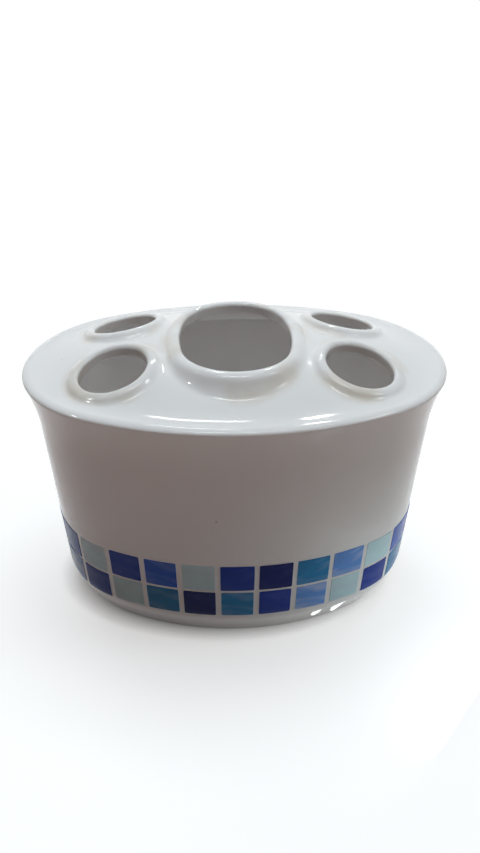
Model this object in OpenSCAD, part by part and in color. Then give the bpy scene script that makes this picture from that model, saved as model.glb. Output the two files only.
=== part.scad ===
// Oval ceramic toothbrush holder: four brush mouths round a large mouth for the tube,
// and a fired-on band of small mosaic squares round the foot.
// Origin: centre of the foot, on the surface that the holder stands on.
// +X runs along the holder's length, -Y is its front, +Z is up.

/* [Outline] */
// Length over the rim
rim_l = 130; // [122:1:140]
// Depth over the rim, front to back
rim_w = 87.4; // [82:0.2:94]
// How far the long sides bow out beyond the radius of the two round ends
side_bow = 6.2; // [4.4:0.2:8.6]
// Height of the rim's edge above the foot
rim_h = 87; // [80:1:100]

/* [Wall] */
// Thickness of the wall
wall_t = 4; // [3:0.25:5]
// How far the wall leans outwards, in degrees
wall_lean = 1.8; // [0.5:0.1:3]
// How far the rim flares out beyond the wall
flare_out = 2.3; // [1:0.1:4]
// Height of the flare under the rim's edge
flare_h = 15.7; // [10:0.1:20]
// Height at which the wall begins to turn in to the foot
bend_h = 17.5; // [16:0.5:24]
// Radius of that turn
bend_r = 18; // [14:0.5:22]
// Lean of the taper below the turn, in degrees
taper_a = 28; // [20:1:32]

/* [Foot] */
// Rounding of the foot's outer edge
foot_r = 1.5; // [0.8:0.1:2]
// Width of the flat foot ring
foot_w = 4; // [3:0.25:5]
// Height of the hollow inside the foot ring
foot_h = 1.2; // [0.6:0.1:2]
// Thickness of the floor
floor_t = 4; // [3:0.25:6]
// Rounding between the floor and the wall inside
floor_r = 6; // [3:0.5:7]

/* [Deck] */
// Thickness of the deck
deck_t = 3.6; // [3:0.1:5]
// Distance of the shoulder's crest inside the rim's edge
crest_in = 2.3; // [1.5:0.1:3]
// Height of the shoulder's crest over the rim's edge
crest_h = 1.25; // [0.6:0.05:2]
// Fall of the ledge inside the crest, over the distance to the mound's foot
ledge_fall = 0.3; // [0:0.05:0.6]
// Width of that ledge
ledge_w = 4.7; // [3:0.1:6]
// Height of the mound's middle over the rim's edge
mound_h = 8.5; // [7:0.1:10]
// Fall of the mound from its middle to the rim's outline
mound_fall = 10; // [9:0.1:13]
// How flat the mound's top stays along the holder, as the power of its fall; 2 is round
ridge_power = 2.4; // [2:0.1:3]
// Width of the hollow curve where the mound meets the ledge
mound_blend = 2; // [1:0.1:3]
// Clearance between the deck's step and the wall round it
step_gap = 0.3; // [0.1:0.05:0.5]

/* [Tube mouth] */
// Clear width of the tube mouth, along the holder
tube_w = 33.8; // [28:0.2:36]
// Clear length of the tube mouth, front to back
tube_l = 48.2; // [42:0.2:50]
// How far its long sides bow out beyond the radius of its front and rear ends
tube_bow = 0.9; // [0.5:0.1:2.5]
// Rounding of its lip towards the mouth
tube_lip_r = 1.2; // [0.8:0.1:2]
// Radius of the lip's outer side
tube_roll_r = 3.2; // [2:0.1:4]
// Height of the lip's crest over the rim's edge
tube_lip_h = 9; // [8.5:0.1:11]

/* [Brush mouths] */
// Clear diameter of a brush mouth
brush_d = 19.8; // [16:0.1:21]
// How far its centre lies inwards of the middle between the tube mouth and the rim's end
brush_shift_x = 5.3; // [3.6:0.1:6.5]
// How far its centre lies inwards of the middle between the long axis and the rim's side
brush_shift_y = 6.05; // [4.9:0.05:6.85]
// Rounding of the lip towards the mouth
brush_lip_r = 1.1; // [0.8:0.1:2]
// Radius of the lip's outer side
brush_roll_r = 2.2; // [1.6:0.1:3]
// Height of the lip's crest over the rim's edge, at the mouth's centre
brush_lip_h = 5.8; // [5:0.1:7]
// Outward fall of the lip's plane, as a share of the distance
brush_fall_share = 0.19; // [0.14:0.01:0.22]
// Width of the hollow curves at the feet of all five collars
collar_blend = 2.6; // [2:0.1:4]

/* [Mosaic band] */
// Number of squares round each row
band_columns = 27; // [20:1:34]
// Height of the band's upper edge above the foot
band_top = 37.2; // [34:0.1:50]
// Height of a square
square_h = 10.5; // [8:0.1:11]
// Gap between neighbours in a row
square_gap = 1.7; // [1:0.1:2.5]
// Gap between the two rows
row_gap = 1.1; // [0.6:0.1:2]
// Thickness of the fired-on colour
square_t = 0.15; // [0.1:0.05:0.3]
// Distance of the first square's middle to the left of the front's middle
band_shift = 0.7; // [0:0.1:6]

/* [Hidden] */

// Colours of the squares to the right from the front's middle, one letter each:
// n navy, m midnight, r royal, z azure, t teal, a aqua
upper_row = "nmtzarnatmzrantrzamntzranra";
lower_row = "tnzantanzantmrantmranaznatm";
glaze = [0.86, 0.88, 0.90];

fine = 180;
overrun = 1;
// The narrowest angle that a swept piece may have, and how far the wall's pieces run into each
// other; the halves of a square that lies on two arcs stay that far apart instead.
least_a = 0.01;
seam_a = 0.002;

half_l = rim_l / 2;
half_w = rim_w / 2;
end_r = half_w - side_bow;
tube_end_r = tube_w / 2 - tube_bow;

// A four-centre oval is [half length, half width, end radius]; all its curves are arcs that
// meet without a corner, and an inset keeps the centres and shortens the radii.
body_oval = [half_l, half_w, end_r];
tube_oval = [tube_l / 2, tube_w / 2, tube_end_r];

function side_r(o) = (o.x * o.x + o.y * o.y - 2 * o.x * o.z) / (2 * (o.y - o.z));
function end_c(o) = o.x - o.z;
function side_c(o) = side_r(o) - o.y;
// Angle of the outward normal where an end arc meets a side arc
function turn(o) = atan2(side_c(o), end_c(o));
function in_end(o, a) = abs(sin(a)) < sin(turn(o));
// Point of the oval whose outward normal has angle a, moved outwards by out
function oval_point(o, a, out = 0) =
    in_end(o, a)
    ? [sign(cos(a)) * end_c(o) + (o.z + out) * cos(a), (o.z + out) * sin(a)]
    : [(side_r(o) + out) * cos(a), -sign(sin(a)) * side_c(o) + (side_r(o) + out) * sin(a)];
// Centre of the arc that lies nearest to point p of the positive quarter, and its radius
function near_end(o, p) = p.x > end_c(o) && p.y < (p.x - end_c(o)) * tan(turn(o));
function near_centre(o, p) = near_end(o, p) ? [end_c(o), 0] : [0, -side_c(o)];
function near_r(o, p) = near_end(o, p) ? o.z : side_r(o);
// Distance of p inside the oval, negative outside it
function inside(o, p) = near_r(o, p) - norm(p - near_centre(o, p));

// The wall's section: x is the distance outside the rim's outline, y the height.
flare_z = rim_h - flare_h;
function wall_line(z) = -flare_out - (rim_h - z) * tan(wall_lean);
function flare_line(z) = wall_line(z) + flare_out * pow((z - flare_z) / flare_h, 2);
function aim(a) = [cos(a), -sin(a)];
bend_c = [wall_line(bend_h), bend_h] - bend_r * aim(wall_lean);
// Centre of the rounding between the taper and the plane at height z
function toe_c(t, z, r) =
    let (p = bend_c + (bend_r - t) * aim(taper_a),
         drop = p.y - z - r * (1 - sin(taper_a)))
    [p.x - drop * tan(taper_a) - r * cos(taper_a), z + r];
// The section's line from the plane at height z up to the rim, t inside the outer face
bend_steps = 6;
flare_steps = 8;
toe_steps = 4;
function skin(t, z, r) = concat(
    [for (i = [toe_steps:-1:0])
        toe_c(t, z, r) + r * aim(taper_a + (90 - taper_a) * i / toe_steps)],
    [for (i = [bend_steps:-1:0])
        bend_c + (bend_r - t) * aim(wall_lean + (taper_a - wall_lean) * i / bend_steps)],
    [for (i = [0:flare_steps])
        let (h = flare_z + flare_h * i / flare_steps) [flare_line(h) - t, h]]);
floor_z = foot_h + floor_t;
foot_in = toe_c(0, 0, foot_r).x - foot_w;
core_in = min(toe_c(wall_t, floor_z, floor_r).x, foot_in - foot_h) - overrun;

function reversed(list) = [for (i = [len(list) - 1:-1:0]) list[i]];

module wall_section() {
    polygon(concat(
        skin(0, 0, foot_r),
        reversed(skin(wall_t, floor_z, floor_r)),
        [[core_in, floor_z], [core_in, foot_h], [foot_in - foot_h, foot_h], [foot_in, 0]]));
}

// The oval's four arcs: first and last angle of the outward normal, centre and radius
function arcs(o) =
    let (t = turn(o))
    [[-t, t, [end_c(o), 0], o.z], [t, 180 - t, [0, -side_c(o)], side_r(o)],
     [180 - t, 180 + t, [-end_c(o), 0], o.z], [180 + t, 360 - t, [0, side_c(o)], side_r(o)]];

// Sweeps a section round the oval, between two angles of the outward normal. The section's x
// is its distance outside the outline.
module sweep(o, from, to, seam) {
    for (arc = arcs(o), lap = [-720, -360, 0]) {
        low = max(arc[0], from + lap);
        high = min(arc[1], to + lap);
        if (high - low > least_a)
            translate(arc[2])
                rotate([0, 0, low])
                    rotate_extrude(angle = high - low + seam, $fn = fine)
                        translate([arc[3], 0])
                            children();
    }
}

module vessel() {
    color(glaze) {
        sweep(body_oval, -turn(body_oval), 360 - turn(body_oval), seam_a)
            wall_section();
        translate([0, 0, foot_h])
            linear_extrude(floor_t)
                polygon([for (i = [0:fine - 1])
                    oval_point(body_oval, 360 * i / fine, core_in + overrun / 2)]);
    }
}

// The deck's height over a point p of the positive quarter; the other quarters mirror it.
crest_z = rim_h + crest_h;
brush_c = [(tube_w / 2 + half_l) / 2 - brush_shift_x, half_w / 2 - brush_shift_y];
brush_r = brush_d / 2;
// Steepest slope of a lip's outer face, in degrees
lip_a = 60;

function ledge(d) =
    d < crest_in
    ? rim_h + crest_h * sqrt(1 - pow(1 - d / crest_in, 2))
    : crest_z - ledge_fall * (d - crest_in) / ledge_w;
function mound(p) =
    rim_h + mound_h - mound_fall * (pow(p.x / half_l, ridge_power) + pow(p.y / half_w, 2));
// The higher of two heights, with a hollow curve of width k where they cross
function blend(a, b, k) = max(a, b) + pow(max(k - abs(a - b), 0), 2) / (4 * k);
function bare(p) = blend(ledge(inside(body_oval, p)), mound(p), mound_blend);
// How far a lip's outer face lies below its crest, at distance e outside the crest line
function bead(e, r) =
    e < r * sin(lip_a)
    ? r - sqrt(r * r - e * e)
    : r * (1 - cos(lip_a)) + (e - r * sin(lip_a)) * tan(lip_a);
function tube_bead(p) =
    rim_h + tube_lip_h - bead(max(-inside(tube_oval, [p.y, p.x]) - tube_lip_r, 0), tube_roll_r);
function brush_bead(p) =
    rim_h + brush_lip_h - brush_fall_share * (p.x + p.y - brush_c.x - brush_c.y)
    - bead(max(norm(p - brush_c) - brush_r - brush_lip_r, 0), brush_roll_r);
function over(p) = blend(blend(bare(p), tube_bead(p), collar_blend), brush_bead(p), collar_blend);
function under(p) = bare(p) - deck_t;

// The step that drops inside the wall, and the ring where the collars' fans of faces end
step_z = crest_z - deck_t;
step_in = wall_t - flare_line(step_z) + step_gap;
fan_in = (step_in + inside(body_oval, brush_c) - brush_r - brush_lip_r) / 2;

// The fans' borders in the positive quarter
split_x = (tube_w / 2 + brush_c.x - brush_r) / 2;
split_a = acos(split_x / (side_r(body_oval) - fan_in));
end_steps = 10;
side_steps = 5;
line_steps = 9;
function steps(from, to, n) = [for (i = [0:n - 1]) from + (to - from) * i / n];
flank_as = concat(steps(0, turn(body_oval), end_steps), steps(turn(body_oval), split_a, side_steps));
front_as = concat(steps(split_a, 90, side_steps), [90]);
function ring(as, in) = [for (a = as) oval_point(body_oval, a, -in)];
corner = oval_point(body_oval, split_a, -fan_in);
tip = oval_point(body_oval, 0, -fan_in);
split_line = [for (i = [0:line_steps - 1]) [corner.x, corner.y * i / line_steps]];
axis_line = [for (i = [0:line_steps - 1]) [corner.x + (tip.x - corner.x) * i / line_steps, 0]];
brush_border = concat(axis_line, ring(flank_as, fan_in), [corner], reversed(split_line));
tube_border = concat(split_line, ring(front_as, fan_in));

// A fan's rows, each along the whole border: in under the deck, up the mouth's wall, over the
// lip and out over the collar.
under_shares = [1, 0.6, 0.3, 0.12, 0];
// Towards the mouth the underside rises with the collar, from this share of the way
rise_share = 0.6;
lip_steps = 3;
// Distances outside the crest in radii of the outer side, and their limits as shares of the
// way to the border
out_shares = [0.45, 0.9, 1.4, 2.2, 3.6];
way_shares = [0.12, 0.26, 0.42, 0.6, 0.8];
function at(c, r, b, e) = c + (r + e) * (b - c) / norm(b - c);
function spot(p, z) = [p.x, p.y, z];
// One column, for border point b, of a mouth with clear radius r about c, whose lip has the
// radius lip towards the mouth and roll on its outer side
function column(c, r, lip, roll, b) =
    let (way = norm(b - c) - r, z = over(at(c, r, b, lip)), rise = z - bare(at(c, r, b, 0)))
    concat(
        [for (s = under_shares)
            let (p = s == 1 ? b : at(c, r, b, way * s))
            spot(p, under(p) + rise * pow(max(1 - s / rise_share, 0), 2))],
        [for (i = [0:lip_steps])
            let (a = 90 * i / lip_steps, p = at(c, r, b, lip * (1 - cos(a)))) spot(p, z - lip * (1 - sin(a)))],
        [for (i = [0:len(out_shares) - 1])
            let (p = at(c, r, b, lip + min(out_shares[i] * roll, way_shares[i] * (way - lip)))) spot(p, over(p))],
        [spot(b, over(b))]);
function swap(p) = [p.y, p.x];
brush_fan = [for (b = brush_border) column(brush_c, brush_r, brush_lip_r, brush_roll_r, b)];
tube_fan = [for (b = tube_border)
    let (c = swap(near_centre(tube_oval, swap(b))), r = near_r(tube_oval, swap(b)))
    column(c, r, tube_lip_r, tube_roll_r, b)];

// The shoulder's rows run from the fans' border out over the crest to the rim's edge, back
// along the joint and down the step.
crest_shares = [1.7, 1, 0.55, 0.25, 0.06];
shoulder = [for (a = concat(flank_as, front_as))
    let (b = oval_point(body_oval, a, -fan_in), s = oval_point(body_oval, a, -step_in))
    concat(
        [spot(b, over(b))],
        [for (k = crest_shares)
            let (p = oval_point(body_oval, a, -k * crest_in)) spot(p, over(p))],
        [spot(oval_point(body_oval, a), rim_h), spot(s, rim_h), spot(s, under(s)), spot(b, under(b))])];

patches = [brush_fan, tube_fan, shoulder];
quarters = [[1, 1], [-1, 1], [-1, -1], [1, -1]];
function placed(patch, q) = [for (col = patch, p = col) [q.x * p.x + 0, q.y * p.y + 0, p.z]];
function grid(patch, first, flip) =
    let (n = len(patch[0]))
    [for (i = [0:len(patch) - 2], j = [0:n - 2])
        let (a = first + i * n + j, b = a + 1, c = a + n, d = c + 1)
        each flip ? [[a, b, d], [a, d, c]] : [[a, d, b], [a, c, d]]];
function size(patch) = len(patch) * len(patch[0]);
quarter_size = size(brush_fan) + size(tube_fan) + size(shoulder);

module deck() {
    color(glaze)
        polyhedron(
            points = [for (q = quarters, patch = patches) each placed(patch, q)],
            faces = [for (i = [0:3])
                let (q = quarters[i], first = i * quarter_size, flip = q.x * q.y < 0)
                each concat(
                    grid(brush_fan, first, flip),
                    grid(tube_fan, first + size(brush_fan), flip),
                    grid(shoulder, first + size(brush_fan) + size(tube_fan), flip))],
            convexity = 8);
}

// Mosaic band: the squares lie on the wall and have its line, round the same oval.
band_in = flare_line(flare_z) - (flare_z - band_top) * tan(wall_lean);
side_path = 2 * (90 - turn(body_oval)) * (side_r(body_oval) + band_in) * PI / 180;
end_path = 2 * turn(body_oval) * (end_r + band_in) * PI / 180;
pitch = 2 * (side_path + end_path) / band_columns;
// Angle of the outward normal, by the distance walked to the right from the front's middle
path = [
    [-side_path / 2, 180 + turn(body_oval)],
    [side_path / 2, 360 - turn(body_oval)],
    [side_path / 2 + end_path, 360 + turn(body_oval)],
    [side_path * 3 / 2 + end_path, 540 - turn(body_oval)],
    [side_path * 3 / 2 + end_path * 2, 540 + turn(body_oval)],
    [side_path * 5 / 2 + end_path * 2, 720 - turn(body_oval)]];
rows = [[upper_row, band_top - square_h], [lower_row, band_top - square_h * 2 - row_gap]];

module square_section(low) {
    difference() {
        intersection() {
            translate([square_t, 0])
                wall_section();
            translate([-half_w, low])
                square([rim_l, square_h]);
        }
        wall_section();
    }
}

module squares(letter, tint) {
    color(tint)
        for (row = rows, i = [0:band_columns - 1])
            if (row[0][i % len(row[0])] == letter) {
                middle = i * pitch - band_shift;
                half = (pitch - square_gap) / 2;
                sweep(body_oval, lookup(middle - half, path), lookup(middle + half, path), -seam_a)
                    square_section(row[1]);
            }
}

module squares_navy() {
    squares("n", [0.10, 0.16, 0.50]);
}

module squares_midnight() {
    squares("m", [0.04, 0.07, 0.28]);
}

module squares_royal() {
    squares("r", [0.14, 0.28, 0.72]);
}

module squares_azure() {
    squares("z", [0.25, 0.48, 0.82]);
}

module squares_teal() {
    squares("t", [0.12, 0.50, 0.66]);
}

module squares_aqua() {
    squares("a", [0.62, 0.78, 0.82]);
}

vessel();
deck();
squares_navy();
squares_midnight();
squares_royal();
squares_azure();
squares_teal();
squares_aqua();
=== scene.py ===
"""Looks of an oval ceramic toothbrush holder: glazed body, domed deck and mosaic band.

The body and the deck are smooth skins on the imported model's own formulas, and the mosaic
squares are laid round the wall by a geometry tree. All sizes are in metres.
"""

import math

import bmesh
import bpy
import numpy as np
from bpy.props import FloatProperty, FloatVectorProperty, IntProperty, PointerProperty, StringProperty
from mathutils import Matrix, Vector


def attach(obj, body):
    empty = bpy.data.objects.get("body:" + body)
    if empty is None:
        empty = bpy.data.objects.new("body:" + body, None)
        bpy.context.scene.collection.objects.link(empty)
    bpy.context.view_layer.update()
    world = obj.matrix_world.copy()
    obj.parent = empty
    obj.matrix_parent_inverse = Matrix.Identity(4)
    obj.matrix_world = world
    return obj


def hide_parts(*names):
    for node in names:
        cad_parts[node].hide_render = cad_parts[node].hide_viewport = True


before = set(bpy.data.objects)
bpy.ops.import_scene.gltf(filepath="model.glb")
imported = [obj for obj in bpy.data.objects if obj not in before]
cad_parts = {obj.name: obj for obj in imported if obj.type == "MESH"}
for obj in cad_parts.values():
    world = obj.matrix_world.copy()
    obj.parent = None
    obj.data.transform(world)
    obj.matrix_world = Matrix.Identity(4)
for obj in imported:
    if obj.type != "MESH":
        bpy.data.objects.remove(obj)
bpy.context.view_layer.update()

bl_info = {
    "name": "Toothbrush Holder",
    "version": (1, 0, 0),
    "blender": (4, 5, 0),
    "location": "View3D > Sidebar > Holder",
    "description": "Builds a glazed toothbrush holder with a mosaic band",
    "category": "Add Mesh",
}

# Each enamel's letter in the rows of squares, and the strength of its pale streaks and its dark clouds
ENAMELS = {
    "navy": ("n", 0.05, 0.25),
    "midnight": ("m", 0.03, 0.3),
    "royal": ("r", 0.15, 0.3),
    "azure": ("z", 0.65, 0.25),
    "teal": ("t", 0.22, 0.4),
    "aqua": ("a", 0.45, 0.12),
}


def setting(name, description, default, kind=FloatProperty, **more):
    """A setting; a plain number if nothing else is said."""
    return kind(name=name, description=description, default=default, **more)


def mm(name, description, value):
    """A length setting whose default is given in millimetres."""
    return setting(name, description, value / 1000, unit="LENGTH", precision=5)


def angle(name, description, value):
    """An angle setting whose default is given in degrees."""
    return setting(name, description, math.radians(value), subtype="ANGLE")


def share(name, description, value):
    """A setting from 0 to 1."""
    return setting(name, description, value, min=0, max=1, subtype="FACTOR")


def colour(name, description, value):
    """A linear colour setting."""
    return setting(name, description, value, FloatVectorProperty, min=0, max=1, subtype="COLOR")


def position(name, description, value):
    """A point setting whose default is given in millimetres."""
    return setting(name, description, [v / 1000 for v in value], FloatVectorProperty, subtype="TRANSLATION")


def letters(name, row):
    """A setting for the colours of a row of squares."""
    description = "Colours to the right from the front's middle, one letter each"
    return setting(name, description, row, StringProperty)


class HolderOutline(bpy.types.PropertyGroup):
    """The oval that the rim follows, seen from above"""

    length: mm("Length", "Length over the rim", 130)
    width: mm("Depth", "Depth over the rim", 87.4)
    side_bow: mm("Side bow", "How far the long sides bow out beyond the radius of the ends", 6.2)
    rim_height: mm("Rim height", "Height of the rim's edge above the foot", 87)


class HolderWall(bpy.types.PropertyGroup):
    """Section of the wall, the floor and the foot"""

    thickness: mm("Thickness", "Thickness of the wall", 4)
    lean: angle("Lean", "Outward lean of the wall", 1.8)
    flare_out: mm("Flare", "How far the rim flares out beyond the wall", 2.3)
    flare_height: mm("Flare height", "Height of the flare under the rim's edge", 15.7)
    bend_height: mm("Bend height", "Height at which the wall begins to turn in to the foot", 17.5)
    bend_radius: mm("Bend radius", "Radius of that turn", 18)
    taper: angle("Taper", "Lean of the taper below the turn", 28)
    foot_rounding: mm("Foot rounding", "Rounding of the foot's outer edge", 1.5)
    foot_width: mm("Foot width", "Width of the flat foot ring", 4)
    foot_recess: mm("Foot recess", "Height of the hollow inside the foot ring", 1.2)
    floor_thickness: mm("Floor", "Thickness of the floor", 4)
    floor_rounding: mm("Floor rounding", "Rounding between the floor and the wall inside", 6)


class HolderDeck(bpy.types.PropertyGroup):
    """The domed top between the rim and the mouths"""

    thickness: mm("Thickness", "Thickness of the deck", 3.6)
    crest_inset: mm("Crest inset", "Distance of the shoulder's crest inside the rim's edge", 2.3)
    crest_height: mm("Crest height", "Height of the crest over the rim's edge", 1.25)
    ledge_fall: mm("Ledge fall", "Fall of the ledge inside the crest", 0.3)
    ledge_width: mm("Ledge width", "Width of that ledge", 4.7)
    mound_height: mm("Mound height", "Height of the mound's middle over the rim's edge", 8.5)
    mound_fall: mm("Mound fall", "Fall of the mound from its middle to the rim's outline", 10)
    ridge_power: setting("Ridge power", "How flat the mound's top stays along the holder; 2 is round", 2.4)
    mound_blend: mm("Mound blend", "Width of the hollow curve where the mound meets the ledge", 2)
    step_gap: mm("Step gap", "Clearance between the deck's step and the wall", 0.3)
    edge_rounding: mm("Edge rounding", "Rounding of the mouths' lower edges", 0.7)


class HolderMouths(bpy.types.PropertyGroup):
    """The tube mouth, the four brush mouths and their collars"""

    tube_width: mm("Tube width", "Clear width of the tube mouth, along the holder", 33.8)
    tube_length: mm("Tube length", "Clear length of the tube mouth, front to back", 48.2)
    tube_bow: mm("Tube bow", "How far its long sides bow out beyond the radius of its ends", 0.9)
    tube_lip: mm("Tube lip", "Rounding of its lip towards the mouth", 1.2)
    tube_roll: mm("Tube roll", "Radius of its lip's outer side", 3.2)
    tube_lip_height: mm("Tube lip height", "Height of the lip's crest over the rim's edge", 9)
    brush_diameter: mm("Brush mouth", "Clear diameter of a brush mouth", 19.8)
    brush_shift_x: mm("Shift along", "How far a brush mouth lies inwards of the middle of its corner", 5.3)
    brush_shift_y: mm("Shift across", "How far a brush mouth lies inwards, front to back", 6.05)
    brush_lip: mm("Brush lip", "Rounding of the lip towards the mouth", 1.1)
    brush_roll: mm("Brush roll", "Radius of the lip's outer side", 2.2)
    brush_lip_height: mm("Brush lip height", "Height of the lip's crest over the rim's edge", 5.8)
    brush_fall: share("Brush fall", "Outward fall of the lip's plane, as a share of the distance", 0.19)
    collar_blend: mm("Collar blend", "Width of the hollow curves at the collars' feet", 2.6)


class HolderBand(bpy.types.PropertyGroup):
    """The two rows of mosaic squares"""

    columns: setting("Columns", "Number of squares round each row", 27, IntProperty, min=3)
    top: mm("Top", "Height of the band's upper edge", 37.2)
    square_height: mm("Square height", "Height of a square", 10.5)
    square_gap: mm("Square gap", "Gap between neighbours in a row", 1.7)
    row_gap: mm("Row gap", "Gap between the two rows", 1.1)
    thickness: mm("Thickness", "Thickness of the fired-on colour", 0.15)
    corner: mm("Corner", "Rounding of a square's corners", 0.2)
    shift: mm("Shift", "Distance of the first square's middle to the left of the front's middle", 0.7)
    upper_row: letters("Upper row", "nmtzarnatmzrantrzamntzranra")
    lower_row: letters("Lower row", "tnzantanzantmrantmranaznatm")


class HolderGlaze(bpy.types.PropertyGroup):
    """The white glaze and what time has done to it"""

    white: colour("White", "Colour of the glazed body", (0.90, 0.880, 0.874))
    stain: colour("Stain", "Colour of the film left by water in the hollows", (0.55, 0.42, 0.25))
    stain_strength: share("Stain strength", "How strongly the film covers the hollows", 0.48)
    speck: colour("Speck", "Colour of the few small specks under the glaze", (0.16, 0.12, 0.09))
    # Bare clay of the foot ring, darkened to paint the contact shade along the foot's bottom edge
    clay_and_contact_shade: colour("Clay", "Colour of the bare foot ring", (0.34, 0.31, 0.27))
    roughness: share("Roughness", "Roughness of the glaze", 0.045)
    sheen: share("Sheen", "Strength of the glaze's reflections; 0.5 is glass", 0.4)
    ripple: mm("Ripple", "Height of the glaze's fine ripples", 0.02)
    waviness: mm("Waviness", "How far the cast surface wanders from its true shape", 0.12)


class HolderEnamel(bpy.types.PropertyGroup):
    """The fired-on colours of the squares"""

    navy: colour("Navy", "Colour of the navy squares", (0.022, 0.062, 0.42))
    midnight: colour("Midnight", "Colour of the midnight squares", (0.010, 0.020, 0.18))
    royal: colour("Royal", "Colour of the royal blue squares", (0.040, 0.145, 0.66))
    azure: colour("Azure", "Colour of the streaked azure squares", (0.165, 0.37, 0.86))
    teal: colour("Teal", "Colour of the teal squares", (0.036, 0.28, 0.60))
    aqua: colour("Aqua", "Colour of the pale aqua squares", (0.66, 0.90, 0.96))
    roughness: share("Roughness", "Roughness of the fired-on colour", 0.13)
    sheen: share("Sheen", "Strength of the colour's reflections; 0.5 is glass", 0.06)


class HolderStage(bpy.types.PropertyGroup):
    """Camera, floor, backdrop and lamps"""

    eye: position("Camera", "Where the camera stands", (-5.089, -180.733, 178.220))
    aim: position("Aim", "The point that the camera looks at", (1.462, 0, 62.11))
    lens: setting("Lens", "Focal length in millimetres", 27.18)
    roll: angle("Roll", "Turn of the camera about its line of sight", 0.072)
    floor: colour("Floor", "Colour of the floor as the lamps see it", (0.70, 0.49, 0.425))
    # Painted shadow: the floor is darker close to the holder in the light it throws back
    floor_shade: colour("Floor shade", "The same close to the holder", (0.16, 0.125, 0.112))
    background: colour("Background", "Colour of the backdrop and of the floor in the camera", (1, 1, 1))
    room: colour("Room", "Dim light that comes from the room all round", (0.085, 0.068, 0.062))
    bounces: setting("Bounces", "How often light goes to and fro inside the holder", 16, IntProperty, min=1)


class HolderSettings(bpy.types.PropertyGroup):
    """All the holder's settings"""

    outline: PointerProperty(type=HolderOutline)
    wall: PointerProperty(type=HolderWall)
    deck: PointerProperty(type=HolderDeck)
    mouths: PointerProperty(type=HolderMouths)
    band: PointerProperty(type=HolderBand)
    glaze: PointerProperty(type=HolderGlaze)
    enamel: PointerProperty(type=HolderEnamel)
    stage: PointerProperty(type=HolderStage)


# Shape formulas


class Oval:
    """Four-centre oval whose parallel curves are arcs about the same four centres."""

    def __init__(self, half_length, half_width, end_radius):
        self.end_radius = end_radius
        self.end_centre = half_length - end_radius
        rest = half_length**2 + half_width**2 - 2 * half_length * end_radius
        self.side_radius = rest / (2 * (half_width - end_radius))
        self.side_centre = self.side_radius - half_width
        self.turn = math.atan2(self.side_centre, self.end_centre)

    def point(self, normal, out=0.0):
        """The points whose outward normals have these angles, moved outwards."""
        c, s = np.cos(normal), np.sin(normal)
        end = np.abs(s) < math.sin(self.turn)
        radius = np.where(end, self.end_radius, self.side_radius) + out
        x = np.where(end, np.sign(c) * self.end_centre, 0) + radius * c
        y = np.where(end, 0, -np.sign(s) * self.side_centre) + radius * s
        return np.stack([x, y], -1)

    def nearest_arc(self, p):
        """Centre and radius of the arc next to points of the positive quarter."""
        x, y = p[..., 0], p[..., 1]
        end = (x > self.end_centre) & (y < (x - self.end_centre) * math.tan(self.turn))
        centre = np.stack([np.where(end, self.end_centre, 0), np.where(end, 0, -self.side_centre)], -1)
        return centre, np.where(end, self.end_radius, self.side_radius)

    def inside(self, p):
        """Distance of points of the positive quarter inside the oval."""
        centre, radius = self.nearest_arc(p)
        return radius - np.linalg.norm(p - centre, axis=-1)


def blend(a, b, width):
    """The higher of two heights, with a hollow curve where they cross."""
    return np.maximum(a, b) + np.maximum(width - np.abs(a - b), 0) ** 2 / (4 * width)


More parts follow.
